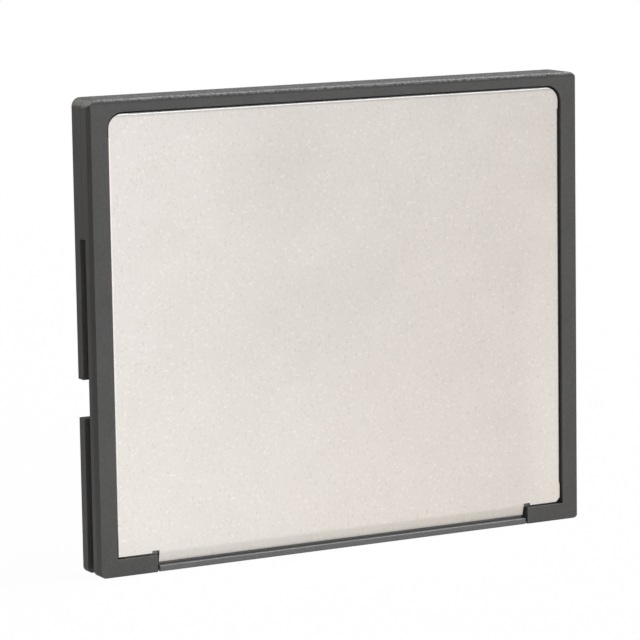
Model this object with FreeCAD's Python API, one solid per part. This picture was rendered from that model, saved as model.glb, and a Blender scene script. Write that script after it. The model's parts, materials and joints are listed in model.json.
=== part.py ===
import FreeCAD, Part
import math
import os

# Compact flash card of the thin kind, in millimetres.
# X is the width, Y the thickness with the front panel towards -Y, and Z the length.
# The card stands on its connector edge at Z = 0, with the origin in the middle of that edge.

Vector = FreeCAD.Vector

# Card envelope
card_width = 42.80
card_length = 36.40
card_thickness = 3.30
far_corner_radius = 0.70
connector_corner_radius = 0.45

# Guide grooves in the long sides: the narrow one on the left and the wide one on the right key the card
groove_depth = 1.02
groove_length = 25.78
rear_flange = 1.01
left_groove_width = 0.99
right_groove_width = 1.60
groove_lead_in = 0.16
groove_lead_in_length = 0.36
notch_start = 12.00
notch_length = 3.00

# Outer edges of the two moulded halves
far_round = 0.22
rear_round = 0.12
side_bevel_inset = 0.08
side_bevel_depth = 0.68
seam_relief = 0.02

# Walls of the moulded frame
side_border = 1.45
top_border = 1.02
groove_wall = 0.93
top_wall = 1.50
foot_width = 4.80
foot_height = 1.33

# Tongues that line the halves up before they are welded
tongue_width = 0.50
tongue_height = 0.35
tongue_clearance = 0.05
top_tongue_gap = 7.40
side_tongue_gap = 1.00
side_tongue_top_gap = 2.00
foot_tongue_length = 1.40

# Sheet panels
panel_thickness = 0.15
panel_recess = 0.20
panel_gap = 0.08
panel_corner_gap = 0.16
panel_foot_gap = 0.13
panel_corner_radius = 1.10
flange_depth = 0.50
flange_bend_radius = 0.20
side_relief_length = 2.90
foot_relief_length = 3.00
top_relief_length = 3.30
cut_corner = 0.35
nose_bend_height = 0.02
nose_bend_radius = 0.90
nose_end_height = 0.69
nose_neck_gap = 0.10
nose_gap = 0.05
nose_relief_width = 0.60
nose_relief_height = 0.18

# Connector housing, with 25 contacts to a row in this width
contact_pitch = 1.27
row_spacing = 1.27
row_end_margin = 1.10
housing_length = 6.60
lip_height = 0.47
lip_gap = 0.20
lip_round = 0.06
housing_clearance = 0.02
ear_gap = 0.25
ear_cover_gap = 0.10
ear_setback = 1.02
arm_inset = 0.40
arm_edge_gap = 0.80
arm_cover_gap = 0.25
arm_length = 1.90

# Contact cavities
cavity_size = 0.56
cavity_wall = 0.115
funnel_size = 0.80
funnel_depth = 0.25

# Socket contacts, stamped from thin sheet
contact_thickness = 0.12
contact_width = 0.32
tine_tip_depth = 0.80
tine_pinch_depth = 1.60
tine_pinch_opening = 0.26
tine_clearance = 0.01
root_block_length = 1.20
root_block_setback = 1.00
tail_inset = 0.05
tail_bend_length = 0.50
tail_pad_length = 0.85

# Circuit board
board_thickness = 0.50
board_gap = 0.30
board_corner_radius = 0.50
board_pad_reach = 0.80
board_pad_length = 2.50
board_pad_inset = 5.10
stop_pad_length = 0.85
stop_gap = 0.05

# Chips, with their leads
controller_width = 12.00
chip_edge_gap = 1.61
chip_gap = 1.80
chip_cover_gap = 0.15
chip_standoff = 0.05
chip_edge = 0.08
lead_thickness = 0.12
lead_shoulder = 0.12
lead_slope = 0.15
lead_foot = 0.45
lead_width = 0.22
memory_lead_pitch = 0.50
memory_lead_margin = 0.20
controller_lead_pitch = 0.65
controller_lead_margin = 1.10
regulator_width = 2.90
regulator_length = 1.60
regulator_lead_pitch = 0.95
regulator_lead_margin = 0.45

# Rows of parts on the board's front, one above another from the connector end
resistor_row_offset = 3.70
support_row_offset = 3.60
capacitor_row_offset = 2.40
chip_row_offset = 2.70
rear_memory_offset = 8.90

# Small parts on the board, as width, length and thickness where they have all three
crystal_width = 3.20
crystal_length = 2.50
crystal_corner = 0.30
crystal_cover_gap = 0.25
capacitor_size = (1.00, 0.50, 0.50)
capacitor_spacing = 2.20
bulk_capacitor_width = 3.20
bulk_capacitor_length = 1.60
bulk_capacitor_cover_gap = 0.15
resistor_array_size = (3.20, 1.60, 0.50)
resistor_array_spacing = 4.40
resistor_row_margin = 4.50
ferrite_width = 1.60
ferrite_length = 0.80
ferrite_cover_gap = 0.15
support_gap = 1.20

# Films and springs
film_thickness = 0.05
film_side_gap = 1.20
film_inset = 1.90
film_spring_gap = 0.85
spring_width = 1.20
spring_thickness = 0.10
spring_reach = 1.50
spring_top_gap = 0.45
spring_edge_gap = 4.05
spring_chip_gap = 0.63

# Worked out from the sizes above
half_width = card_width / 2
front_y = -card_thickness / 2
rear_y = card_thickness / 2
window_half = half_width - side_border
window_top = card_length - top_border
panel_y = front_y + panel_recess
panel_inner_y = panel_y + panel_thickness
ledge_y = panel_y + flange_depth
groove_floor = half_width - groove_depth
cavity_half = groove_floor - groove_wall
cavity_top = card_length - top_wall
foot_inner = half_width - foot_width
flat_bottom = foot_height + panel_foot_gap
nose_bend_z = flat_bottom + nose_bend_height
lip_half = foot_inner - lip_gap
ear_half = cavity_half - ear_gap
ear_top = housing_length - ear_setback
neck_half = row_spacing / 2 + cavity_size / 2 + cavity_wall
body_half = -panel_inner_y - housing_clearance
nose_tip_y = -(neck_half + nose_neck_gap + panel_thickness)
nose_half = lip_half - nose_gap
contact_gaps = int((2 * lip_half - 2 * row_end_margin) / contact_pitch)
root_block_end = housing_length - root_block_setback
board_face = board_thickness / 2
board_half = cavity_half - board_gap
board_bottom = housing_length + board_gap
board_top = cavity_top - board_gap
film_face = -panel_inner_y - film_thickness
lead_reach = lead_shoulder + lead_slope + lead_foot
spring_top = board_top - spring_top_gap
spring_low = spring_top - spring_reach
resistor_row_z = board_bottom + resistor_row_offset
support_row_z = resistor_row_z + support_row_offset
capacitor_row_z = support_row_z + capacitor_row_offset
chip_start = capacitor_row_z + chip_row_offset
chip_top = spring_low - spring_chip_gap - lead_reach
chip_length = chip_top - chip_start
chip_thickness = film_face - chip_cover_gap - chip_standoff - board_face
controller_left = -board_half + chip_edge_gap + lead_reach
memory_left = controller_left + controller_width + 2 * lead_reach + chip_gap
memory_right = board_half - chip_edge_gap - lead_reach
controller_size = (controller_width, chip_length, chip_thickness)
memory_size = (memory_right - memory_left, chip_length, chip_thickness)
regulator_size = (regulator_width, regulator_length, chip_thickness)
crystal_size = (crystal_width, crystal_length, film_face - crystal_cover_gap - board_face)
bulk_capacitor_size = (bulk_capacitor_width, bulk_capacitor_length,
                       film_face - bulk_capacitor_cover_gap - board_face)
ferrite_size = (ferrite_width, ferrite_length, film_face - ferrite_cover_gap - board_face)
past = 1.0


def box(x_from, x_to, y_from, y_to, z_from, z_to):
    """A block between two corners."""
    corner = Vector(x_from, y_from, z_from)
    return Part.makeBox(x_to - x_from, y_to - y_from, z_to - z_from, corner)


def edges_along_y(solid, z_above=-1.0):
    """The solid's edges that run through its thickness, all of them or only those above a height."""
    found = []
    for edge in solid.Edges:
        ends = [vertex.Point for vertex in edge.Vertexes]
        if len(ends) != 2 or abs(ends[0].x - ends[1].x) > 1e-6 or abs(ends[0].z - ends[1].z) > 1e-6:
            continue
        if ends[0].z > z_above:
            found.append(edge)
    return found


def edges_on_plane(solid, y):
    """The edges that lie wholly on one plane across the thickness."""
    return [edge for edge in solid.Edges
            if abs(edge.BoundBox.YMin - y) < 1e-6 and abs(edge.BoundBox.YMax - y) < 1e-6]


def extruded(points, along):
    """A closed outline of corner points, pushed along a direction."""
    outline = Part.makePolygon(points + [points[0]])
    return Part.Face(outline).extrude(along)


def to_rear(shape):
    """The same shape on the other side of the card's middle plane."""
    return shape.mirror(Vector(0, 0, 0), Vector(0, 1, 0))


# The two moulded halves

def half_blank():
    """One half of the card's outline, with rounded corners and a fine relief at the seam."""
    blank = box(-half_width, half_width, front_y, 0, 0, card_length)
    middle_z = card_length / 2
    blank = blank.makeFillet(far_corner_radius, edges_along_y(blank, middle_z))
    low_edges = [edge for edge in edges_along_y(blank) if edge.BoundBox.ZMax < middle_z
                 and edge.BoundBox.XLength < edge.BoundBox.YLength]
    blank = blank.makeFillet(connector_corner_radius, low_edges)
    return blank.makeChamfer(seam_relief, edges_on_plane(blank, 0))


def side_bevel(side):
    """The cutter for the shallow bevel of a long front edge."""
    on_side = Vector(side * half_width, front_y + side_bevel_depth, 0)
    on_face = Vector(side * (half_width - side_bevel_inset), front_y, 0)
    slope = on_face - on_side
    beyond_face = on_face + slope
    beyond_side = on_side - slope
    return extruded([beyond_side, beyond_face, Vector(beyond_side.x, beyond_face.y, 0)], Vector(0, 0, card_length))


def far_rounding():
    """The cutter that rounds the front edge at the far end."""
    centre_y = front_y + far_round
    centre_z = card_length - far_round
    diagonal = far_round * math.sqrt(0.5)
    on_face = Vector(-half_width - past, front_y, centre_z)
    crest = Vector(-half_width - past, centre_y - diagonal, centre_z + diagonal)
    on_end = Vector(-half_width - past, centre_y, card_length)
    corner = [on_end, on_end + Vector(0, 0, past), on_face + Vector(0, -past, past + far_round),
              on_face + Vector(0, -past, 0), on_face]
    outline = Part.Wire(Part.makePolygon(corner).Edges + [Part.Arc(on_face, crest, on_end).toShape()])
    return Part.Face(outline).extrude(Vector(card_width + 2 * past, 0, 0))


def window_cutter():
    """The opening for the panel, the deeper and narrower cavity behind it, and the gap between the corner feet."""
    window = box(-window_half, window_half, front_y - past, ledge_y, foot_height, window_top)
    window = window.makeFillet(panel_corner_radius + panel_corner_gap, edges_along_y(window, foot_height))
    cavity = box(-cavity_half, cavity_half, ledge_y - panel_gap, past, foot_height, cavity_top)
    mouth = box(-foot_inner, foot_inner, front_y - past, past, -past, foot_height + past)
    return window.fuse([cavity, mouth])


def groove_cutter(side, width):
    """A guide groove, open at the connector edge with a flared mouth."""
    rear_side = rear_y - rear_flange
    front_side = rear_side - width
    outline = [
        (front_side, groove_length),
        (rear_side, groove_length),
        (rear_side, groove_lead_in_length),
        (rear_side + groove_lead_in, 0),
        (rear_side + groove_lead_in, -past),
        (front_side - groove_lead_in, -past),
        (front_side - groove_lead_in, 0),
        (front_side, groove_lead_in_length),
    ]
    points = [Vector(side * groove_floor, y, z) for y, z in outline]
    return extruded(points, Vector(side * (groove_depth + past), 0, 0))


def notch_cutter(side):
    """The notch through the rear flange of a groove."""
    outer = side * (half_width + past)
    floor = side * groove_floor
    rear_side = rear_y - rear_flange
    return box(min(outer, floor), max(outer, floor), rear_side - panel_gap, rear_y + past,
               notch_start, notch_start + notch_length)


def inner_pads():
    """Pads inside a half that hold the board's edges and keep the connector housing down on the feet."""
    pads = []
    for side in (-1, 1):
        inner = side * (cavity_half - board_pad_reach)
        wall = side * (cavity_half + groove_wall / 2)
        low = min(inner, wall)
        high = max(inner, wall)
        lower = board_bottom + board_pad_inset
        upper = board_top - board_pad_inset - board_pad_length
        for height in (lower, upper):
            pads.append(box(low, high, ledge_y, -board_face, height, height + board_pad_length))
        start = ear_top + stop_gap
        pads.append(box(low, high, ledge_y, 0, start, start + stop_pad_length))
    return pads


def tongues(clearance):
    """The tongues on the front half, or with a clearance the pockets that take them in the rear half."""
    half = tongue_width / 2 + clearance
    depth = tongue_height + clearance
    top_middle = (cavity_top + card_length) / 2
    long_half = half_width - top_tongue_gap + clearance
    shapes = [box(-long_half, long_half, 0, depth, top_middle - half, top_middle + half)]
    side_middle = (cavity_half + half_width) / 2
    side_start = groove_length + side_tongue_gap - clearance
    side_end = card_length - side_tongue_top_gap + clearance
    foot_middle = (foot_inner + groove_floor) / 2
    foot_half = foot_tongue_length / 2 + clearance
    for side in (-1, 1):
        middle = side * side_middle
        shapes.append(box(middle - half, middle + half, 0, depth, side_start, side_end))
        middle = side * foot_middle
        shapes.append(box(middle - foot_half, middle + foot_half, 0, depth, foot_height / 2 - half,
                          foot_height / 2 + half))
    return shapes


def front_frame():
    """The moulded half that faces the viewer."""
    frame = half_blank().cut([side_bevel(-1), side_bevel(1), far_rounding(), window_cutter()])
    frame = frame.fuse(inner_pads() + tongues(0))
    grooves = [groove_cutter(-1, left_groove_width), groove_cutter(1, right_groove_width)]
    return frame.cut(grooves).removeSplitter()


def rear_frame():
    """The moulded half on the back, which carries the flanges of the guide grooves."""
    blank = half_blank()
    blank = blank.makeFillet(rear_round, edges_on_plane(blank, front_y))
    frame = to_rear(blank.cut(window_cutter()).fuse(inner_pads()))
    grooves = [groove_cutter(-1, left_groove_width), groove_cutter(1, right_groove_width)]
    notches = [notch_cutter(-1), notch_cutter(1)]
    return frame.cut(grooves + notches + tongues(tongue_clearance)).removeSplitter()


# The sheet panels

def flange(edge, start, end, place):
    """A bent edge of the panel: a quarter bend and a straight leg, pushed from start to end along the edge.

    place turns a distance across the panel, a depth and a distance along the edge into a point.
    """
    centre = edge - flange_bend_radius
    bend_y = panel_y + flange_bend_radius
    inner_radius = flange_bend_radius - panel_thickness
    diagonal = math.sqrt(0.5)
    outer_start = place(centre, panel_y, start)
    outer_middle = place(centre + flange_bend_radius * diagonal, bend_y - flange_bend_radius * diagonal, start)
    outer_end = place(edge, bend_y, start)
    leg_end = place(edge, ledge_y, start)
    leg_back = place(edge - panel_thickness, ledge_y, start)
    inner_start = place(edge - panel_thickness, bend_y, start)
    inner_middle = place(centre + inner_radius * diagonal, bend_y - inner_radius * diagonal, start)
    inner_end = place(centre, panel_inner_y, start)
    outline = Part.Wire([
        Part.Arc(outer_start, outer_middle, outer_end).toShape(),
        Part.makeLine(outer_end, leg_end),
        Part.makeLine(leg_end, leg_back),
        Part.makeLine(leg_back, inner_start),
        Part.Arc(inner_start, inner_middle, inner_end).toShape(),
        Part.makeLine(inner_end, outer_start),
    ])
    along = place(0, 0, end) - place(0, 0, start)
    return Part.Face(outline).extrude(along)


def nose_slope():
    """The angle by which the nose leans in from the panel's field, down to the connector's neck."""
    return math.atan2(nose_tip_y - panel_y, nose_bend_z - nose_end_height)


def inner_bend_height():
    """The height of the nose's bend on the panel's inner face."""
    return nose_bend_z + panel_thickness * math.tan(nose_slope() / 2)


def nose_bend_top():
    """The height where the nose's rounded bend runs out into the panel's flat field."""
    return nose_bend_z + nose_bend_radius * math.tan(nose_slope() / 2)


def nose():
    """The panel's nose over the connector, which slopes in towards the housing below a rounded bend."""
    slope = nose_slope()
    top = nose_bend_top() + panel_thickness
    points = [
        Vector(-nose_half, panel_y, nose_bend_z),
        Vector(-nose_half, nose_tip_y, nose_end_height),
        Vector(-nose_half, nose_tip_y + panel_thickness * math.cos(slope),
               nose_end_height + panel_thickness * math.sin(slope)),
        Vector(-nose_half, panel_inner_y, inner_bend_height()),
        Vector(-nose_half, panel_inner_y, top),
        Vector(-nose_half, panel_y, top),
    ]
    sheet = extruded(points, Vector(2 * nose_half, 0, 0))
    for y, z, radius in ((panel_y, nose_bend_z, nose_bend_radius),
                         (panel_inner_y, inner_bend_height(), nose_bend_radius - panel_thickness)):
        bend = [edge for edge in sheet.Edges if edge.BoundBox.XLength > nose_half
                and abs(edge.BoundBox.YMin - y) < 1e-6 and abs(edge.BoundBox.ZMin - z) < 1e-6]
        sheet = sheet.makeFillet(radius, bend)
    return sheet


def front_panel():
    """The sheet panel: a flat field, three bent edges, flat corners between them and the sloping nose."""
    corner_half = window_half - panel_corner_gap
    corner_top = window_top - panel_corner_gap
    edge_half = window_half - panel_gap
    edge_top = window_top - panel_gap
    flat_half = edge_half - flange_bend_radius
    flat_top = edge_top - flange_bend_radius
    side_top = card_length - side_relief_length
    top_half = half_width - top_relief_length
    field = box(-corner_half, corner_half, panel_y, panel_inner_y, flat_bottom, corner_top)
    field = field.makeFillet(panel_corner_radius, edges_along_y(field, flat_bottom))
    cuts = [box(-top_half, top_half, front_y, 0, flat_top, card_length)]
    for side in (-1, 1):
        inner = side * flat_half
        outer = side * half_width
        cuts.append(box(min(inner, outer), max(inner, outer), front_y, 0, foot_relief_length, side_top))
        inner = side * nose_half
        outer = side * (nose_half + nose_relief_width)
        cuts.append(box(min(inner, outer), max(inner, outer), front_y, 0, 0, flat_bottom + nose_relief_height))
    cuts.append(box(-nose_half, nose_half, front_y, 0, 0, nose_bend_top()))
    corner = [
        Vector(corner_half - cut_corner, front_y, flat_bottom),
        Vector(corner_half + past, front_y, flat_bottom + cut_corner + past),
        Vector(corner_half + past, front_y, flat_bottom - past),
        Vector(corner_half - cut_corner, front_y, flat_bottom - past),
    ]
    cuts.append(extruded(corner, Vector(0, -front_y, 0)))
    edges = [
        flange(edge_half, foot_relief_length, side_top, lambda across, y, z: Vector(across, y, z)),
        flange(edge_half, foot_relief_length, side_top, lambda across, y, z: Vector(-across, y, z)),
        flange(edge_top, -top_half, top_half, lambda across, y, x: Vector(x, y, across)),
    ]
    return field.cut(cuts).fuse(edges + [nose()]).removeSplitter()


# The connector

def contact_places():
    """The contacts' middles across the width."""
    first = -contact_gaps * contact_pitch / 2
    return [first + index * contact_pitch for index in range(contact_gaps + 1)]


def square(x, y, z, size):
    """A square outline around a contact's middle line."""
    half = size / 2
    corners = [Vector(x - half, y - half, z), Vector(x + half, y - half, z),
               Vector(x + half, y + half, z), Vector(x - half, y + half, z)]
    return Part.makePolygon(corners + [corners[0]])


def contact_cavity(x, side):
    """One cavity of the socket: a lead-in funnel and a square shaft through to the back."""
    y = side * row_spacing / 2
    funnel = Part.makeLoft([square(x, y, 0, funnel_size), square(x, y, funnel_depth, cavity_size)], True, True)
    half = cavity_size / 2
    shaft = box(x - half, x + half, y - half, y + half, funnel_depth, housing_length + past)
    return funnel.fuse(shaft)


def housing_blank():
    """The housing without its cavities: a lip, a neck that widens under the panels' noses, ears and board arms."""
    outline = [
        (rear_y, 0),
        (rear_y, lip_height),
        (neck_half, lip_height),
        (neck_half, nose_end_height),
        (body_half, inner_bend_height() + housing_clearance),
        (body_half, housing_length),
    ]
    points = [Vector(-lip_half, y, z) for y, z in outline]
    points += [Vector(-lip_half, -y, z) for y, z in reversed(outline)]
    body = extruded(points, Vector(2 * lip_half, 0, 0))
    lip_edges = [edge for y in (front_y, rear_y) for edge in edges_on_plane(body, y)
                 if edge.BoundBox.XLength > lip_half]
    body = body.makeFillet(lip_round, lip_edges)
    ear_face = -panel_inner_y - ear_cover_gap
    arm_face = -panel_inner_y - arm_cover_gap
    shapes = []
    for side in (-1, 1):
        ends = sorted((side * lip_half, side * ear_half))
        shapes.append(box(ends[0], ends[1], -ear_face, ear_face, foot_height, ear_top))
        ends = sorted((side * (lip_half + arm_inset), side * (ear_half - arm_edge_gap)))
        top = housing_length + arm_length
        shapes.append(box(ends[0], ends[1], board_face, arm_face, ear_top, top))
        shapes.append(box(ends[0], ends[1], -arm_face, -board_face, ear_top, top))
    return body.fuse(shapes).removeSplitter()


def connector_housing():
    """The moulded housing with two rows of cavities."""
    cavities = [contact_cavity(x, side) for side in (-1, 1) for x in contact_places()]
    return housing_blank().cut(cavities)


def contact(x, side):
    """A fork contact: two tines that pinch the pin, a root block and a tail bent down to the board's face."""
    thickness = contact_thickness
    middle = row_spacing / 2
    tail_near = middle - cavity_size / 2 + tail_inset
    tail_far = tail_near + thickness
    pad_far = board_face + thickness
    bend_start = housing_length + thickness
    bend_end = bend_start + tail_bend_length
    pad_end = bend_end + tail_pad_length
    root_outer = cavity_size / 2 - tine_clearance
    root = root_outer - thickness
    tip = root_outer - thickness / 2
    pinch = tine_pinch_opening / 2
    root_start = root_block_end - root_block_length
    outline = [
        (middle - root, root_start),
        (middle - pinch, tine_pinch_depth),
        (middle - tip, tine_tip_depth),
        (middle - root_outer, tine_tip_depth),
        (middle - root_outer, root_block_end),
        (tail_near, root_block_end),
        (tail_near, bend_start),
        (board_face, bend_end),
        (board_face, pad_end),
        (pad_far, pad_end),
        (pad_far, bend_end),
        (tail_far, bend_start),
        (tail_far, root_block_end),
        (middle + root_outer, root_block_end),
        (middle + root_outer, tine_tip_depth),
        (middle + tip, tine_tip_depth),
        (middle + pinch, tine_pinch_depth),
        (middle + root, root_start),
    ]
    points = [Vector(x - contact_width / 2, side * y, z) for y, z in outline]
    return extruded(points, Vector(contact_width, 0, 0))


def contact_row(side):
    """All contacts of one row."""
    return Part.makeCompound([contact(x, side) for x in contact_places()])


# The circuit board and what it carries

def circuit_board():
    """The board between the two halves."""
    board = box(-board_half, board_half, -board_face, board_face, board_bottom, board_top)
    return board.makeFillet(board_corner_radius, edges_along_y(board))


def on_board(place, size, side, standoff=0.0):
    """A block on one face of the board, given by its middle, its size and how far it stands off."""
    x, z = place
    width, length, thickness = size
    near = board_face + standoff
    faces = sorted((side * near, side * (near + thickness)))
    return box(x - width / 2, x + width / 2, faces[0], faces[1], z - length / 2, z + length / 2)


def chip_body(place, size, side):
    """A moulded chip body with a small chamfer round its top."""
    body = on_board(place, size, side, chip_standoff)
    top = side * (board_face + chip_standoff + size[2])
    return body.makeChamfer(chip_edge, edges_on_plane(body, top))


def lead(start, outward, across, side, body_thickness):
    """A gull-wing lead from the middle of a body's side down to the board, given by unit directions."""
    height = chip_standoff + body_thickness / 2
    reach = lead_shoulder + lead_slope
    outline = [
        (0, height),
        (lead_shoulder, height),
        (reach, lead_thickness),
        (reach + lead_foot, lead_thickness),
        (reach + lead_foot, 0),
        (reach - lead_thickness / 2, 0),
        (lead_shoulder - lead_thickness / 2, height - lead_thickness),
        (0, height - lead_thickness),
    ]
    base = start - across * (lead_width / 2)
    points = [base + outward * out + Vector(0, side * (board_face + up), 0) for out, up in outline]
    return extruded(points, across * lead_width)


def lead_offsets(length, pitch, margin):
    """Where the leads stand along a side: as many as fit between the margins, centred."""
    gaps = int((length - 2 * margin) / pitch)
    return [(index - gaps / 2) * pitch for index in range(gaps + 1)]


def side_leads(place, size, side, pitch, margin):
    """The leads on a chip's two short sides, which face along the width."""
    x, z = place
    leads = []
    for sign in (-1, 1):
        for offset in lead_offsets(size[1], pitch, margin):
            start = Vector(x + sign * size[0] / 2, 0, z + offset)
            leads.append(lead(start, Vector(sign, 0, 0), Vector(0, 0, 1), side, size[2]))
    return leads


def end_leads(place, size, side, pitch, margin):
    """The leads on the two sides that face along the card's length."""
    x, z = place
    leads = []
    for sign in (-1, 1):
        for offset in lead_offsets(size[0], pitch, margin):
            start = Vector(x + offset, 0, z + sign * size[1] / 2)
            leads.append(lead(start, Vector(0, 0, sign), Vector(1, 0, 0), side, size[2]))
    return leads


def memory_leads(place, side):
    """The leads of one memory chip."""
    return Part.makeCompound(side_leads(place, memory_size, side, memory_lead_pitch, memory_lead_margin))


def controller_leads(place):
    """The leads on all four sides of the controller."""
    settings = (place, controller_size, -1, controller_lead_pitch, controller_lead_margin)
    return Part.makeCompound(side_leads(*settings) + end_leads(*settings))


def regulator_leads(place):
    """The leads of the voltage regulator."""
    leads = end_leads(place, regulator_size, -1, regulator_lead_pitch, regulator_lead_margin)
    return Part.makeCompound(leads)


def crystal(place):
    """The clock crystal in its lidded case."""
    case = on_board(place, crystal_size, -1)
    return case.makeFillet(crystal_corner, edges_along_y(case))


def support_places():
    """The middles of the regulator, bead, crystal and two large capacitors, side by side from the left."""
    widths = [regulator_width, ferrite_width, crystal_width, bulk_capacitor_width, bulk_capacitor_width]
    places = []
    left = controller_left
    for width in widths:
        places.append((left + width / 2, support_row_z))
        left += width + support_gap
    return places


def row_of_parts(x_from, x_to, z, spacing, size):
    """Like parts in a centred row on the board's front, as many as fit between two ends."""
    gaps = int((x_to - x_from - size[0]) / spacing)
    middle = (x_from + x_to) / 2
    places = [(middle + (index - gaps / 2) * spacing, z) for index in range(gaps + 1)]
    return Part.makeCompound([on_board(place, size, -1) for place in places])


def insulating_film():
    """The thin film stuck inside a panel, over the chips."""
    half = cavity_half - film_side_gap
    return box(-half, half, panel_inner_y, panel_inner_y + film_thickness, board_bottom + film_inset,
               spring_low - film_spring_gap)


def ground_spring(x):
    """A C-shaped spring from the board's face to the panel's inner face."""
    outline = [
        (-board_face, spring_low),
        (-board_face, spring_top),
        (panel_inner_y, spring_top),
        (panel_inner_y, spring_low),
        (panel_inner_y + spring_thickness, spring_low),
        (panel_inner_y + spring_thickness, spring_top - spring_thickness),
        (-board_face - spring_thickness, spring_top - spring_thickness),
        (-board_face - spring_thickness, spring_low),
    ]
    points = [Vector(x - spring_width / 2, y, z) for y, z in outline]
    return extruded(points, Vector(spring_width, 0, 0))


def ground_springs():
    """The two springs of one face."""
    offset = board_half - spring_edge_gap - spring_width / 2
    return Part.makeCompound([ground_spring(-offset), ground_spring(offset)])


def build_nodes():
    """Every piece of the card by its node's name."""
    chip_middle_z = chip_start + chip_length / 2
    controller_place = (controller_left + controller_width / 2, chip_middle_z)
    front_memory_place = ((memory_left + memory_right) / 2, chip_middle_z)
    rear_memory_place = (0, board_bottom + rear_memory_offset + chip_length / 2)
    regulator_place, ferrite_place, crystal_place, *bulk_places = support_places()
    resistor_half = board_half - resistor_row_margin
    return {
        "front_frame": front_frame(),
        "rear_frame": rear_frame(),
        "front_panel": front_panel(),
        "rear_panel": to_rear(front_panel()),
        "connector_housing": connector_housing(),
        "front_row_contacts": contact_row(-1),
        "rear_row_contacts": contact_row(1),
        "circuit_board": circuit_board(),
        "controller_chip": chip_body(controller_place, controller_size, -1),
        "controller_leads": controller_leads(controller_place),
        "front_memory_chip": chip_body(front_memory_place, memory_size, -1),
        "front_memory_leads": memory_leads(front_memory_place, -1),
        "rear_memory_chip": chip_body(rear_memory_place, memory_size, 1),
        "rear_memory_leads": memory_leads(rear_memory_place, 1),
        "voltage_regulator": chip_body(regulator_place, regulator_size, -1),
        "regulator_leads": regulator_leads(regulator_place),
        "ferrite_bead": on_board(ferrite_place, ferrite_size, -1),
        "crystal": crystal(crystal_place),
        "bulk_capacitors": Part.makeCompound([on_board(place, bulk_capacitor_size, -1) for place in bulk_places]),
        "decoupling_capacitors": row_of_parts(memory_left, memory_right, capacitor_row_z, capacitor_spacing,
                                              capacitor_size),
        "resistor_arrays": row_of_parts(-resistor_half, resistor_half, resistor_row_z, resistor_array_spacing,
                                        resistor_array_size),
        "front_insulating_film": insulating_film(),
        "rear_insulating_film": to_rear(insulating_film()),
        "front_ground_springs": ground_springs(),
        "rear_ground_springs": to_rear(ground_springs()),
    }


os.makedirs("parts", exist_ok=True)
for name, shape in build_nodes().items():
    shape.exportStep("parts/" + name + ".step")
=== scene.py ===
import json
import math

import bpy
import numpy as np
from mathutils import Matrix, Vector


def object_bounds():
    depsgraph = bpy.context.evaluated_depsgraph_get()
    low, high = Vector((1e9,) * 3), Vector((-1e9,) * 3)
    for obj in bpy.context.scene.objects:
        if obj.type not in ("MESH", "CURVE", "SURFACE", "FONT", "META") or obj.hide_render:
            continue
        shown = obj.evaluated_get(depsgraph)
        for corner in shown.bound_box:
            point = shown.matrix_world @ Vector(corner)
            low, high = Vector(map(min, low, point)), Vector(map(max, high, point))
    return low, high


# Compact flash card on a pale studio floor, in metres. X is its width, Y its thickness with the front panel
# towards -Y, and Z its length, with the connector edge down.

MM = 0.001
WHITE = (1.0, 1.0, 1.0)

# Camera, as the photograph was taken. Angles are in degrees, and the sensor's width is in millimetres.
CAMERA_AZIMUTH = -28.301
CAMERA_ELEVATION = 8.503
CAMERA_ROLL = -0.894
CAMERA_DISTANCE = 273.32 * MM
CAMERA_SIDESTEP = -1.151 * MM
CAMERA_LIFT = -0.319 * MM
CLIP_START = 0.01
CLIP_END = 10.0
SENSOR_WIDTH = 36.0
FOCAL_PIXELS = 3488.5
PICTURE_PIXELS = 640.0

# Bands across the frame's far end, as depths below it: rub marks, partly painted glints, from where they
# start to where they are full, and a painted shade line and a painted highlight crest that are whole between
# two depths
RUB_AND_GLINT_END = (0.28 * MM, 0.18 * MM)
PAINTED_SHADE_LINE = (0.37 * MM, 0.24 * MM)
PAINTED_HIGHLIGHT_LINE = (0.17 * MM, 0.10 * MM)
BAND_BLEND = 0.03 * MM
RUB_AND_GLINT_SHARE = 0.8
PALE_RUB_AND_GLINT_TONE = 0.12
RUB_DARK_TONE = 0.014
PAINTED_SHADE_SHARE = 0.65
PAINTED_SHADE_TONE = 0.026
PAINTED_HIGHLIGHT_SHARE = 0.6
PAINTED_HIGHLIGHT_TONE = 0.10

# Bands on the sheet panels, as depths below their far edge, from where they start to where they are full: a
# painted shade line, and a painted highlight along the bend
PANEL_PAINTED_SHADE_LINE = (0.38 * MM, 0.27 * MM)
PANEL_PAINTED_HIGHLIGHT = (0.20 * MM, 0.13 * MM)
PANEL_PAINTED_SHADE_SHARE = 0.34
PANEL_PAINTED_SHADE_TONE = 0.28
PANEL_PAINTED_HIGHLIGHT_TONE = 0.93

# Painted light: the connector turns paler between these heights above its edge, lightening the shade
# that falls above its lip
NECK_PAINTED_LIGHT_EDGES = (0.475 * MM, 0.52 * MM)
NECK_PAINTED_LIGHT_TONE = 0.17

# Faint clouds on the front panel: centre across and along the card, reach across and along, and how far they
# darken (under 1) or lighten it
PANEL_CLOUDS = (
    (-5.5 * MM, 31.0 * MM, 7.5 * MM, 9.0 * MM, 0.945),
    (-3.0 * MM, 18.5 * MM, 12.0 * MM, 6.5 * MM, 0.96),
    (20.5 * MM, 8.0 * MM, 5.5 * MM, 26.0 * MM, 1.10),
)

# Sheet panel: the two tones of its body, its specks and its edges
PANEL_DULL = (0.621, 0.590, 0.565, 1.0)
PANEL_BRIGHT = (0.677, 0.648, 0.626, 1.0)
PANEL_PALE_SPECK = (0.725, 0.694, 0.665, 1.0)
PANEL_DARK_SPECK = (0.590, 0.558, 0.528, 1.0)
PANEL_EDGE = (0.74, 0.72, 0.70, 1.0)

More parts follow.
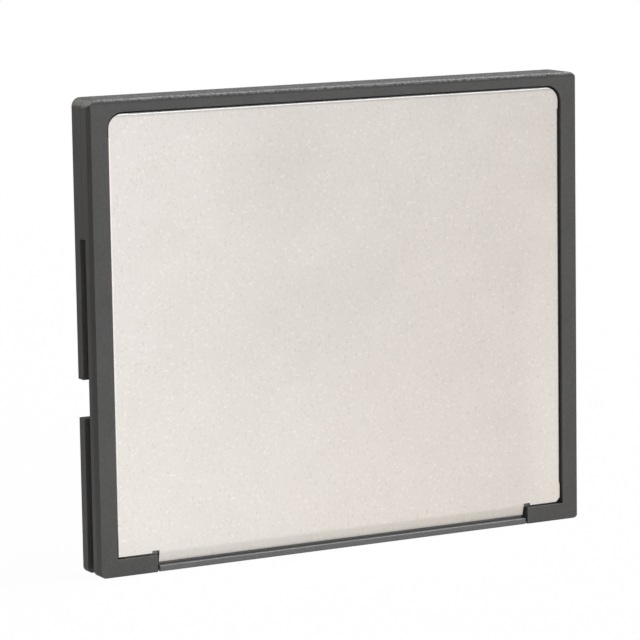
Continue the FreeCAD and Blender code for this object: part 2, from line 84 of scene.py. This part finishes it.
# Detail of the noises and their middle value, how many directions the edge mask looks in, and how much
# lighter the edges of the inner pieces are
GRAIN_DETAIL = 3.0
PATCH_DETAIL = 4.0
SPECK_DETAIL = 1.0
BREAKUP_DETAIL = 2.0
NOISE_MIDDLE = 0.5
EDGE_SAMPLES = 6
EDGE_LIFT = 1.3

# Board: the two tones of its solder mask, and the tracks under it
MASK_DARK = (0.012, 0.085, 0.035, 1.0)
MASK_LIGHT = (0.020, 0.110, 0.048, 1.0)
TRACK_COLOUR = (0.035, 0.160, 0.070, 1.0)
TRACK_SCALE = 900.0
TRACK_EDGE = 0.42
TRACK_HEIGHT = 0.02 * MM
TRACK_STRENGTH = 0.4

# Floor: its mesh, and the tones that the camera sees and that soft light gets
FLOOR_RADIUS = 1.2
FLOOR_RINGS = 24
FLOOR_SPOKES = 96
FLOOR_ROUGHNESS = 0.9
FLOOR_BOUNCE = 0.50
FLOOR_WHITE_NEAR = 0.97
FLOOR_WHITE_REACH = 0.35

# Floor as gloss sees it: a fall to the right, a dark part at the left behind the card, and a painted shadow
# at the card's foot
FLOOR_GLOSS_BASE = 1.04
FLOOR_GLOSS_FALL = 0.60
FLOOR_GLOSS_NEAR = 1.08
FLOOR_GLOSS_FAR = 0.86
FLOOR_GLOSS_REACH = 0.30
FLOOR_FALL_SLANT = 0.53
FLOOR_FALL_EDGES = (-0.10, 0.02)
FLOOR_WARM = (1.0, 0.966, 0.890, 1.0)
FLOOR_WARM_EDGES = (-0.04, 0.04)
FLOOR_DARK_TONE = 0.12
FLOOR_DARK_ACROSS = (-0.07, -0.015)
FLOOR_DARK_ALONG = (-0.03, 0.0)
FLOOR_PAINTED_SHADOW_TONE = 0.75
FLOOR_PAINTED_SHADOW_EDGES = (0.0017, 0.007)

# Dark curtain, and the world's tone in gloss
CURTAIN_RADIUS = 1.0
CURTAIN_HEIGHT = 0.9
CURTAIN_AZIMUTHS = (-165.0, -20.0)
CURTAIN_COLUMNS = 32
CURTAIN_ROWS = 4
CURTAIN_TONE = 0.02
WORLD_GLOSS = 0.38

# Lamps: azimuth and elevation in degrees, watts and colour
LAMP_DISTANCE = 0.8
LAMP_SIZE = 0.4
WARM_LAMP = (1.0, 0.955, 0.89)
LAMPS = {
    "rear_left_softbox": (-168, 15, 2.5, WARM_LAMP),
    "camera_softbox": (-28, 15, 1.51, WHITE),
    "front_softbox": (10, 20, 1.46, WHITE),
    "front_right_softbox": (50, 20, 0.87, WHITE),
    "high_right_softbox": (75, 58, 10.8, WHITE),
}

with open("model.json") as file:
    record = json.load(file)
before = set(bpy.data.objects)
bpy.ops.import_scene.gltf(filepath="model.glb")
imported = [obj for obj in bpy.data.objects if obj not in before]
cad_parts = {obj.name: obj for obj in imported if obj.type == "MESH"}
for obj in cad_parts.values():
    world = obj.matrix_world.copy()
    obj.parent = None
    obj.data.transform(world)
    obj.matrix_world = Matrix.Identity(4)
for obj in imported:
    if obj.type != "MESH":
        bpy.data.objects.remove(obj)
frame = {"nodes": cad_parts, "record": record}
cad_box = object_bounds()
nodes = frame["nodes"]
card_middle = (cad_box[0] + cad_box[1]) / 2
card_end = cad_box[1].z
panel_end = max(corner[2] for corner in nodes["front_panel"].bound_box)


# Node helpers

def set_inputs(node, values):
    """Sets a node's input values by name, where an underscore stands for a space."""
    for name, value in values.items():
        node.inputs[name.replace("_", " ")].default_value = value
    return node


def fill_socket(tree, socket, value):
    """Gives a socket a number or a colour, or links an output socket to it."""
    if isinstance(value, bpy.types.NodeSocket):
        tree.links.new(value, socket)
    else:
        socket.default_value = value


def math_node(tree, operation, first, second, clamp=False):
    """A Math node. Its operands are numbers or output sockets."""
    node = tree.nodes.new("ShaderNodeMath")
    node.operation = operation
    node.use_clamp = clamp
    fill_socket(tree, node.inputs[0], first)
    fill_socket(tree, node.inputs[1], second)
    return node.outputs["Value"]


def product(tree, first, second):
    """Two values multiplied."""
    return math_node(tree, "MULTIPLY", first, second)


def mix_colour(tree, factor, first, second, blend="MIX"):
    """A Mix node for colours. Its factor and both colours are values or output sockets."""
    node = tree.nodes.new("ShaderNodeMix")
    node.data_type = "RGBA"
    node.blend_type = blend
    # The node also holds the sockets of its other data types, under the same names, so they go by their place
    for place, value in ((0, factor), (6, first), (7, second)):
        fill_socket(tree, node.inputs[place], value)
    return node.outputs[2]


def map_range(tree, value, low, high, first, second):
    """A value carried from one range to another and held at its ends."""
    node = tree.nodes.new("ShaderNodeMapRange")
    set_inputs(node, {"From Min": low, "From Max": high, "To Min": first, "To Max": second})
    tree.links.new(value, node.inputs["Value"])
    return node.outputs["Result"]


def grey(value):
    """A neutral colour."""
    return (value, value, value, 1.0)


def object_coordinates(tree):
    """The place on the card, in metres."""
    return tree.nodes.new("ShaderNodeTexCoord").outputs["Object"]


def split(tree, place):
    """The X, Y and Z of a place."""
    apart = tree.nodes.new("ShaderNodeSeparateXYZ")
    tree.links.new(place, apart.inputs["Vector"])
    return apart.outputs["X"], apart.outputs["Y"], apart.outputs["Z"]


def along_card(tree):
    """How far up the card's length a place is, from the connector edge."""
    return split(tree, object_coordinates(tree))[2]


def noise(tree, place, scale, detail):
    """A noise texture on a place."""
    node = tree.nodes.new("ShaderNodeTexNoise")
    node.inputs["Detail"].default_value = detail
    tree.links.new(place, node.inputs["Vector"])
    tree.links.new(scale, node.inputs["Scale"])
    return node.outputs["Fac"]


def below(end, depths):
    """Two depths below an end, as heights on the card."""
    return end - depths[0], end - depths[1]


def band(tree, height, low, high):
    """1 between two heights and 0 outside them, with soft ends."""
    rise = map_range(tree, height, low - BAND_BLEND, low, 0.0, 1.0)
    fall = map_range(tree, height, high, high + BAND_BLEND, 1.0, 0.0)
    return product(tree, rise, fall)


def new_group(name, inputs, outputs):
    """A shader node group with named sockets, each given with its kind, and its two end nodes."""
    group = bpy.data.node_groups.new(name, "ShaderNodeTree")
    kinds = {"value": "NodeSocketFloat", "vector": "NodeSocketVector"}
    for side, sockets in (("INPUT", inputs), ("OUTPUT", outputs)):
        for socket, kind in sockets.items():
            group.interface.new_socket(socket, in_out=side, socket_type=kinds[kind])
    return group, group.nodes.new("NodeGroupInput"), group.nodes.new("NodeGroupOutput")


def use_group(tree, group, **values):
    """A group placed in a material with its own values."""
    node = tree.nodes.new("ShaderNodeGroup")
    node.node_tree = group
    return set_inputs(node, values)


# Shared effects

def make_surface_grain():
    """Fine grain, and soft patches that vary the tone, from two noises on the object's own coordinates."""
    group, given, result = new_group(
        "surface_grain",
        {"Grain Scale": "value", "Patch Scale": "value"},
        {"Grain": "value", "Patches": "value"})
    place = object_coordinates(group)
    fine = noise(group, place, given.outputs["Grain Scale"], GRAIN_DETAIL)
    patches = noise(group, place, given.outputs["Patch Scale"], PATCH_DETAIL)
    group.links.new(fine, result.inputs["Grain"])
    group.links.new(patches, result.inputs["Patches"])
    return group


def make_edge_wear():
    """A mask of the outer edges, broken up by noise.

    It is one less the dot product of the rounded normal and the true one.
    """
    group, given, result = new_group(
        "edge_wear",
        {"Radius": "value", "Gain": "value", "Breakup Scale": "value"},
        {"Mask": "value", "Rounded Normal": "vector"})
    bevel = group.nodes.new("ShaderNodeBevel")
    bevel.samples = EDGE_SAMPLES
    group.links.new(given.outputs["Radius"], bevel.inputs["Radius"])
    geometry = group.nodes.new("ShaderNodeNewGeometry")
    dot = group.nodes.new("ShaderNodeVectorMath")
    dot.operation = "DOT_PRODUCT"
    group.links.new(bevel.outputs["Normal"], dot.inputs[0])
    group.links.new(geometry.outputs["Normal"], dot.inputs[1])
    departure = math_node(group, "SUBTRACT", 1.0, dot.outputs["Value"], clamp=True)
    breakup = noise(group, object_coordinates(group), given.outputs["Breakup Scale"], BREAKUP_DETAIL)
    raised = product(group, departure, given.outputs["Gain"])
    broken = math_node(group, "MULTIPLY", raised, breakup, clamp=True)
    group.links.new(broken, result.inputs["Mask"])
    group.links.new(bevel.outputs["Normal"], result.inputs["Rounded Normal"])
    return group


def make_speckle():
    """Sparse fine specks, where a noise on the object's coordinates leaves its usual range."""
    group, given, result = new_group(
        "speckle",
        {"Scale": "value", "Rarity": "value", "Softness": "value"},
        {"Light Specks": "value", "Dark Specks": "value"})
    field = noise(group, object_coordinates(group), given.outputs["Scale"], SPECK_DETAIL)
    centred = math_node(group, "SUBTRACT", field, NOISE_MIDDLE)
    for name, sign in (("Light Specks", 1.0), ("Dark Specks", -1.0)):
        height = math_node(group, "SUBTRACT", product(group, centred, sign), given.outputs["Rarity"])
        speck = math_node(group, "DIVIDE", height, given.outputs["Softness"], clamp=True)
        group.links.new(speck, result.inputs[name])
    return group


surface_grain = make_surface_grain()
speckle = make_speckle()
edge_wear = make_edge_wear()


def new_material(name, **settings):
    """A material with a Principled shader, and the constants set on the shader's own sockets."""
    material = bpy.data.materials.new(name)
    material.use_nodes = True
    shader = set_inputs(material.node_tree.nodes["Principled BSDF"], settings)
    return material, material.node_tree, shader


def spread(tree, value, middle, amount):
    """A noise value turned into one that varies round a middle by an amount."""
    centred = math_node(tree, "SUBTRACT", value, NOISE_MIDDLE)
    return math_node(tree, "ADD", product(tree, centred, 2 * amount), middle)


def bump(tree, height, distance, strength, normal=None):
    """A Bump node. Its distance is the height of the relief in metres."""
    node = tree.nodes.new("ShaderNodeBump")
    set_inputs(node, {"Distance": distance, "Strength": strength})
    tree.links.new(height, node.inputs["Height"])
    if normal is not None:
        tree.links.new(normal, node.inputs["Normal"])
    return node.outputs["Normal"]


# Materials

def finish_material(name, dark, light, roughness, roughness_spread, grain_scale, grain_height, grain_strength,
                    patch_scale, grain_tone, edge_colour, edge_radius, edge_gain, overlay=None, **settings):
    """A material from the shared effects.

    Patches and grain mix two tones, the edges take a third, and an overlay may go over them.
    """
    material, tree, shader = new_material(name, **settings)
    grain = use_group(tree, surface_grain, Grain_Scale=grain_scale, Patch_Scale=patch_scale)
    edges = use_group(tree, edge_wear, Radius=edge_radius, Gain=edge_gain, Breakup_Scale=patch_scale)
    tone = spread(tree, grain.outputs["Grain"], middle=0.0, amount=grain_tone)
    factor = math_node(tree, "ADD", grain.outputs["Patches"], tone, clamp=True)
    body = mix_colour(tree, factor, dark, light)
    colour = mix_colour(tree, edges.outputs["Mask"], body, edge_colour)
    if overlay is not None:
        colour = overlay(tree, colour)
    tree.links.new(colour, shader.inputs["Base Color"])
    rough = spread(tree, grain.outputs["Patches"], roughness, roughness_spread)
    tree.links.new(rough, shader.inputs["Roughness"])
    relief = bump(tree, grain.outputs["Grain"], grain_height, grain_strength, edges.outputs["Rounded Normal"])
    tree.links.new(relief, shader.inputs["Normal"])
    return material


def far_end_rubs_and_painted_light(tree, colour):
    """Far end of the frame: rub marks with painted glints, a painted highlight crest, a painted shade line
    below.
    """
    height = along_card(tree)
    # Painted highlight along the crest, and painted shade in a fine line below it
    painted_highlight = product(tree, band(tree, height, *below(card_end, PAINTED_HIGHLIGHT_LINE)), PAINTED_HIGHLIGHT_SHARE)
    painted_shade = product(tree, band(tree, height, *below(card_end, PAINTED_SHADE_LINE)), PAINTED_SHADE_SHARE)
    highlighted = mix_colour(tree, painted_highlight, colour, grey(PAINTED_HIGHLIGHT_TONE))
    shaded = mix_colour(tree, painted_shade, highlighted, grey(PAINTED_SHADE_TONE))
    # Rub marks; the pale ones are partly painted glints
    rubs_and_glints = use_group(tree, speckle, Scale=5200.0, Rarity=0.02, Softness=0.08)
    end = map_range(tree, height, *below(card_end, RUB_AND_GLINT_END), 0.0, RUB_AND_GLINT_SHARE)
    pale = mix_colour(tree, product(tree, rubs_and_glints.outputs["Light Specks"], end), shaded, grey(PALE_RUB_AND_GLINT_TONE))
    return mix_colour(tree, product(tree, rubs_and_glints.outputs["Dark Specks"], end), pale, grey(RUB_DARK_TONE))


def moulded_frame_material():
    """Dark grey moulded plastic with a fine texture, slightly rubbed edges and painted light on its far end.
    """
    return finish_material(
        "moulded_frame", dark=(0.0428, 0.0418, 0.0410, 1.0), light=(0.0606, 0.0594, 0.0586, 1.0),
        roughness=0.55, roughness_spread=0.05, grain_scale=5200.0, grain_height=0.010 * MM,
        grain_strength=0.5, patch_scale=420.0, grain_tone=0.9, edge_colour=grey(0.16),
        edge_radius=0.06 * MM, edge_gain=1.2, overlay=far_end_rubs_and_painted_light, Specular_IOR_Level=0.45)


def painted_rim_highlight(tree, colour):
    """A painted highlight along the bend at the panel's far edge, with a faint painted shade line below it.
    """
    height = along_card(tree)
    # Painted shade line, then a painted highlight along the bend
    panel_painted_shade = map_range(tree, height, *below(panel_end, PANEL_PAINTED_SHADE_LINE), 0.0, PANEL_PAINTED_SHADE_SHARE)
    panel_painted_highlight = map_range(tree, height, *below(panel_end, PANEL_PAINTED_HIGHLIGHT), 0.0, 1.0)
    return mix_colour(tree, panel_painted_highlight, mix_colour(tree, panel_painted_shade, colour, grey(PANEL_PAINTED_SHADE_TONE)), grey(PANEL_PAINTED_HIGHLIGHT_TONE))


def squared_share(tree, place, centre, reach):
    """The square of how far a place is from a centre, as a share of the reach."""
    share = math_node(tree, "DIVIDE", math_node(tree, "SUBTRACT", place, centre), reach)
    return product(tree, share, share)


def clouded(tree, colour):
    """Faint clouds on the front panel. Each is the square of 1 - (x/a)^2 - (z/b)^2, with reaches a and b."""
    across_card, through_card, up_card = split(tree, object_coordinates(tree))
    front = math_node(tree, "LESS_THAN", through_card, 0.0)
    for across, along, reach_across, reach_along, tone in PANEL_CLOUDS:
        away = math_node(tree, "ADD", squared_share(tree, across_card, across, reach_across),
                         squared_share(tree, up_card, along, reach_along))
        near = math_node(tree, "SUBTRACT", 1.0, away, clamp=True)
        cloud = product(tree, product(tree, near, near), front)
        colour = mix_colour(tree, cloud, colour, grey(tone), "MULTIPLY")
    return colour


def sheet_panel_material():
    """Bead-blasted stainless sheet with fine specks, soft patches, faint clouds and a painted far-edge
    highlight.
    """
    material, tree, shader = new_material("sheet_panel", Metallic=1.0)
    grain = use_group(tree, surface_grain, Grain_Scale=9000.0, Patch_Scale=330.0)
    specks = use_group(tree, speckle, Scale=4300.0, Rarity=0.115, Softness=0.12)
    edges = use_group(tree, edge_wear, Radius=0.03 * MM, Gain=1.5, Breakup_Scale=260.0)
    patches = spread(tree, grain.outputs["Patches"], middle=0.5, amount=0.35)
    body = mix_colour(tree, patches, PANEL_DULL, PANEL_BRIGHT)
    pale = mix_colour(tree, specks.outputs["Light Specks"], body, PANEL_PALE_SPECK)
    dark = mix_colour(tree, specks.outputs["Dark Specks"], pale, PANEL_DARK_SPECK)
    edged = mix_colour(tree, edges.outputs["Mask"], clouded(tree, dark), PANEL_EDGE)
    tree.links.new(painted_rim_highlight(tree, edged), shader.inputs["Base Color"])
    rough = spread(tree, grain.outputs["Patches"], middle=0.38, amount=0.03)
    tree.links.new(rough, shader.inputs["Roughness"])
    relief = bump(tree, grain.outputs["Grain"], distance=0.006 * MM, strength=0.45,
                  normal=edges.outputs["Rounded Normal"])
    tree.links.new(relief, shader.inputs["Normal"])
    return material


def painted_light_on_neck(tree, colour):
    """Painted light: the connector above its lip, where shade falls, made a little paler."""
    # Painted light on the shaded neck
    painted_neck_light = map_range(tree, along_card(tree), *NECK_PAINTED_LIGHT_EDGES, 0.0, 1.0)
    return mix_colour(tree, painted_neck_light, colour, grey(NECK_PAINTED_LIGHT_TONE))


def connector_material():
    """Smooth moulded connector plastic, a little paler than the frame."""
    return finish_material(
        "connector_plastic", dark=(0.088, 0.088, 0.090, 1.0), light=(0.111, 0.111, 0.113, 1.0),
        roughness=0.42, roughness_spread=0.05, grain_scale=5000.0, grain_height=0.004 * MM,
        grain_strength=0.4, patch_scale=500.0, grain_tone=0.4, edge_colour=grey(0.13),
        edge_radius=0.04 * MM, edge_gain=1.0, overlay=painted_light_on_neck)


def worn(colour):
    """A colour made lighter, for worn edges."""
    return (*(min(1.0, channel * EDGE_LIFT) for channel in colour), 1.0)


def plain_materials():
    """The finishes of the inner pieces, by material slot.

    A recipe holds a dark and a light tone, the roughness, the scale of the grain, and 1 for a metal.
    """
    recipes = {
        "contact_metal": ((0.76, 0.54, 0.20), (0.86, 0.66, 0.30), 0.24, 9000.0, 1.0),
        "lead_metal": ((0.58, 0.58, 0.57), (0.70, 0.70, 0.69), 0.38, 9000.0, 1.0),
        "spring_metal": ((0.60, 0.42, 0.22), (0.72, 0.52, 0.30), 0.30, 8000.0, 1.0),
        "crystal_case": ((0.62, 0.60, 0.55), (0.72, 0.70, 0.65), 0.32, 7000.0, 1.0),
        "chip_plastic": ((0.018, 0.018, 0.019), (0.032, 0.032, 0.034), 0.55, 6000.0, 0.0),
        "capacitor_ceramic": ((0.27, 0.17, 0.09), (0.36, 0.24, 0.13), 0.40, 6000.0, 0.0),
        "resistor_ceramic": ((0.020, 0.020, 0.022), (0.036, 0.036, 0.038), 0.42, 6000.0, 0.0),
        "ferrite": ((0.045, 0.044, 0.043), (0.070, 0.068, 0.066), 0.62, 5000.0, 0.0),
        "insulating_film": ((0.42, 0.17, 0.02), (0.52, 0.23, 0.04), 0.22, 4000.0, 0.0),
    }
    made = {}
    for name, (dark, light, roughness, grain_scale, metal) in recipes.items():
        made[name] = finish_material(
            name, dark=(*dark, 1.0), light=(*light, 1.0), roughness=roughness, roughness_spread=0.06,
            grain_scale=grain_scale, grain_height=0.004 * MM, grain_strength=0.35, patch_scale=600.0,
            grain_tone=0.4, edge_colour=worn(light), edge_radius=0.03 * MM, edge_gain=1.0, Metallic=metal)
    return made


def board_material():
    """Solder mask over copper: a fine square net of tracks shows as a slightly lighter green."""
    material, tree, shader = new_material("board_laminate", Coat_Weight=0.4)
    grain = use_group(tree, surface_grain, Grain_Scale=6000.0, Patch_Scale=500.0)
    tracks = tree.nodes.new("ShaderNodeTexVoronoi")
    tracks.inputs["Scale"].default_value = TRACK_SCALE
    tracks.distance = "CHEBYCHEV"
    tree.links.new(object_coordinates(tree), tracks.inputs["Vector"])
    lines = math_node(tree, "GREATER_THAN", tracks.outputs["Distance"], TRACK_EDGE)
    green = mix_colour(tree, grain.outputs["Patches"], MASK_DARK, MASK_LIGHT)
    tree.links.new(mix_colour(tree, lines, green, TRACK_COLOUR), shader.inputs["Base Color"])
    rough = spread(tree, grain.outputs["Patches"], middle=0.36, amount=0.05)
    tree.links.new(rough, shader.inputs["Roughness"])
    tree.links.new(bump(tree, lines, TRACK_HEIGHT, TRACK_STRENGTH), shader.inputs["Normal"])
    return material


def dress_nodes():
    """Gives every CAD node the material of its slot."""
    materials = plain_materials()
    materials["moulded_frame"] = moulded_frame_material()
    materials["sheet_panel"] = sheet_panel_material()
    materials["connector_plastic"] = connector_material()
    materials["board_laminate"] = board_material()
    for part in frame["record"]["subparts"]:
        mesh = nodes[part["node"]].data
        mesh.materials.clear()
        mesh.materials.append(materials[part["material_slot"]])


# Studio

def place_in_scene(name, data):
    """A new object in the scene, made from a mesh, a lamp or a camera."""
    placed = bpy.data.objects.new(name, data)
    bpy.context.scene.collection.objects.link(placed)
    return placed


def floor_mesh():
    """A flat disc: rings whose radius grows with the square of their number, carried round a full turn."""
    ring = (np.arange(1, FLOOR_RINGS + 1) / FLOOR_RINGS) ** 2 * FLOOR_RADIUS
    turn = np.arange(FLOOR_SPOKES) / FLOOR_SPOKES * 2 * math.pi
    radius, angle = np.meshgrid(ring, turn, indexing="ij")
    points = np.stack([radius * np.cos(angle), radius * np.sin(angle), np.zeros_like(radius)], axis=-1)
    points = np.concatenate([np.zeros((1, 3)), points.reshape(-1, 3)])
    row, column = np.meshgrid(np.arange(FLOOR_RINGS - 1), np.arange(FLOOR_SPOKES), indexing="ij")
    following = (column + 1) % FLOOR_SPOKES
    first = 1 + row * FLOOR_SPOKES
    second = first + FLOOR_SPOKES
    corners = [first + column, second + column, second + following, first + following]
    quads = np.stack(corners, axis=-1).reshape(-1, 4)
    centre = [(0, 1 + spoke, 1 + (spoke + 1) % FLOOR_SPOKES) for spoke in range(FLOOR_SPOKES)]
    mesh = bpy.data.meshes.new("studio_floor")
    mesh.from_pydata(points.tolist(), [], centre + quads.tolist())
    return mesh


def distance_from_card(tree, place):
    """How far a place on the floor is from the card."""
    length = tree.nodes.new("ShaderNodeVectorMath")
    length.operation = "LENGTH"
    tree.links.new(place, length.inputs[0])
    return length.outputs["Value"]


def floor_sides(tree, place):
    """Across and along on the floor, and a slanted place whose mirror image is even across the panel."""
    across, along, _ = split(tree, place)
    return across, along, math_node(tree, "ADD", across, product(tree, along, FLOOR_FALL_SLANT))


def floor_gloss(tree, place):
    """The tone gloss sees: less to the right, dark at the left behind the card, a painted shadow at its foot.
    """
    across, along, slanted = floor_sides(tree, place)
    fall = map_range(tree, slanted, *FLOOR_FALL_EDGES, FLOOR_GLOSS_BASE + FLOOR_GLOSS_FALL, FLOOR_GLOSS_BASE)
    beside = map_range(tree, across, *FLOOR_DARK_ACROSS, 1.0, 0.0)
    behind = map_range(tree, along, *FLOOR_DARK_ALONG, 0.0, 1.0 - FLOOR_DARK_TONE)
    left = math_node(tree, "SUBTRACT", 1.0, product(tree, beside, behind))
    # Painted shadow on the floor at the card's foot
    ahead = product(tree, along, -1.0)
    painted_foot_shadow = map_range(tree, ahead, *FLOOR_PAINTED_SHADOW_EDGES, FLOOR_PAINTED_SHADOW_TONE, 1.0)
    distance = distance_from_card(tree, place)
    far = map_range(tree, distance, 0.0, FLOOR_GLOSS_REACH, FLOOR_GLOSS_NEAR, FLOOR_GLOSS_FAR)
    return product(tree, product(tree, left, painted_foot_shadow), product(tree, fall, far))


def floor_tint(tree, place, glossy):
    """White for the camera. Gloss sees a colour that turns slightly warm to the right of the card."""
    slanted = floor_sides(tree, place)[2]
    warmth = map_range(tree, slanted, *FLOOR_WARM_EDGES, 0.0, 1.0)
    return mix_colour(tree, product(tree, warmth, glossy), grey(1.0), FLOOR_WARM)


def floor_material():
    """Matt white that the camera sees as the backdrop's white, less the card's soft shadow near the card."""
    material, tree, shader = new_material(
        "studio_floor", Base_Color=grey(FLOOR_BOUNCE), Roughness=FLOOR_ROUGHNESS, Specular_IOR_Level=0.0)
    path = tree.nodes.new("ShaderNodeLightPath")
    glossy = path.outputs["Is Glossy Ray"]
    place = object_coordinates(tree)
    drop = product(tree, glossy, math_node(tree, "SUBTRACT", floor_gloss(tree, place), 1.0))
    glow = tree.nodes.new("ShaderNodeEmission")
    tree.links.new(floor_tint(tree, place, glossy), glow.inputs["Color"])
    tree.links.new(math_node(tree, "ADD", drop, 1.0), glow.inputs["Strength"])
    white = map_range(tree, distance_from_card(tree, place), 0.0, FLOOR_WHITE_REACH, FLOOR_WHITE_NEAR, 1.0)
    seen = product(tree, path.outputs["Is Camera Ray"], white)
    mix = tree.nodes.new("ShaderNodeMixShader")
    tree.links.new(math_node(tree, "ADD", seen, glossy, clamp=True), mix.inputs["Fac"])
    tree.links.new(shader.outputs["BSDF"], mix.inputs[1])
    tree.links.new(glow.outputs["Emission"], mix.inputs[2])
    tree.links.new(mix.outputs["Shader"], tree.nodes["Material Output"].inputs["Surface"])
    return material


def make_floor():
    """The floor under the card."""
    floor = place_in_scene("studio_floor", floor_mesh())
    floor.data.materials.append(floor_material())


def curtain_mesh():
    """Part of an upright cylinder, radius R: (R sin a, -R cos a, z) for a between two azimuths."""
    turn = np.radians(np.linspace(*CURTAIN_AZIMUTHS, CURTAIN_COLUMNS + 1))
    height = np.linspace(0.0, CURTAIN_HEIGHT, CURTAIN_ROWS + 1)
    angle, level = np.meshgrid(turn, height, indexing="ij")
    points = np.stack([CURTAIN_RADIUS * np.sin(angle), -CURTAIN_RADIUS * np.cos(angle), level], axis=-1)
    column, row = np.meshgrid(np.arange(CURTAIN_COLUMNS), np.arange(CURTAIN_ROWS), indexing="ij")
    first = column * (CURTAIN_ROWS + 1) + row
    second = first + CURTAIN_ROWS + 1
    quads = np.stack([first, second, second + 1, first + 1], axis=-1).reshape(-1, 4)
    mesh = bpy.data.meshes.new("studio_curtain")
    mesh.from_pydata(points.reshape(-1, 3).tolist(), [], quads.tolist())
    return mesh


def make_curtain():
    """A dark curtain to the left of the card, out of the picture."""
    curtain = place_in_scene("studio_curtain", curtain_mesh())
    material, _, _ = new_material("studio_curtain", Base_Color=grey(CURTAIN_TONE), Roughness=1.0)
    curtain.data.materials.append(material)
    curtain.visible_camera = False


def make_world():
    """White where the camera sees it, a fixed tone in gloss, and dark for the rest."""
    world = bpy.data.worlds.new("studio")
    world.use_nodes = True
    bpy.context.scene.world = world
    tree = world.node_tree
    background = tree.nodes["Background"]
    background.inputs["Color"].default_value = grey(1.0)
    path = tree.nodes.new("ShaderNodeLightPath")
    gloss = product(tree, path.outputs["Is Glossy Ray"], WORLD_GLOSS)
    strength = math_node(tree, "ADD", path.outputs["Is Camera Ray"], gloss)
    tree.links.new(strength, background.inputs["Strength"])


def direction(azimuth, elevation):
    """The unit vector from the card towards a place round it. Azimuth 0 is in front of the panel."""
    a, e = math.radians(azimuth), math.radians(elevation)
    return Vector((math.sin(a) * math.cos(e), -math.cos(a) * math.cos(e), math.sin(e)))


def make_lamp(name, azimuth, elevation, watts, colour):
    """A square soft lamp that faces the card."""
    lamp = bpy.data.lights.new(name, "AREA")
    lamp.shape = "SQUARE"
    lamp.size = LAMP_SIZE
    lamp.energy = watts
    lamp.color = colour
    away = direction(azimuth, elevation)
    holder = place_in_scene(name, lamp)
    holder.location = card_middle + away * LAMP_DISTANCE
    holder.rotation_euler = away.to_track_quat("Z", "Y").to_euler()


def make_camera():
    """The camera at the photograph's place, with its slight roll."""
    camera = bpy.data.cameras.new("photo_camera")
    camera.sensor_width = SENSOR_WIDTH
    camera.lens = FOCAL_PIXELS / PICTURE_PIXELS * SENSOR_WIDTH
    camera.clip_start = CLIP_START
    camera.clip_end = CLIP_END
    back = direction(CAMERA_AZIMUTH, CAMERA_ELEVATION)
    level = Vector((0, 0, 1)).cross(back).normalized()
    upright = back.cross(level)
    roll = math.radians(CAMERA_ROLL)
    right = level * math.cos(roll) + upright * math.sin(roll)
    up = upright * math.cos(roll) - level * math.sin(roll)
    place = card_middle + back * CAMERA_DISTANCE + right * CAMERA_SIDESTEP + up * CAMERA_LIFT
    turn = Matrix((right, up, back)).transposed().to_4x4()
    holder = place_in_scene("photo_camera", camera)
    holder.matrix_world = Matrix.Translation(place) @ turn
    bpy.context.scene.camera = holder


bpy.context.scene.view_settings.view_transform = "Standard"
dress_nodes()
make_floor()
make_curtain()
make_world()
for lamp_name, lamp_values in LAMPS.items():
    make_lamp(lamp_name, *lamp_values)
make_camera()
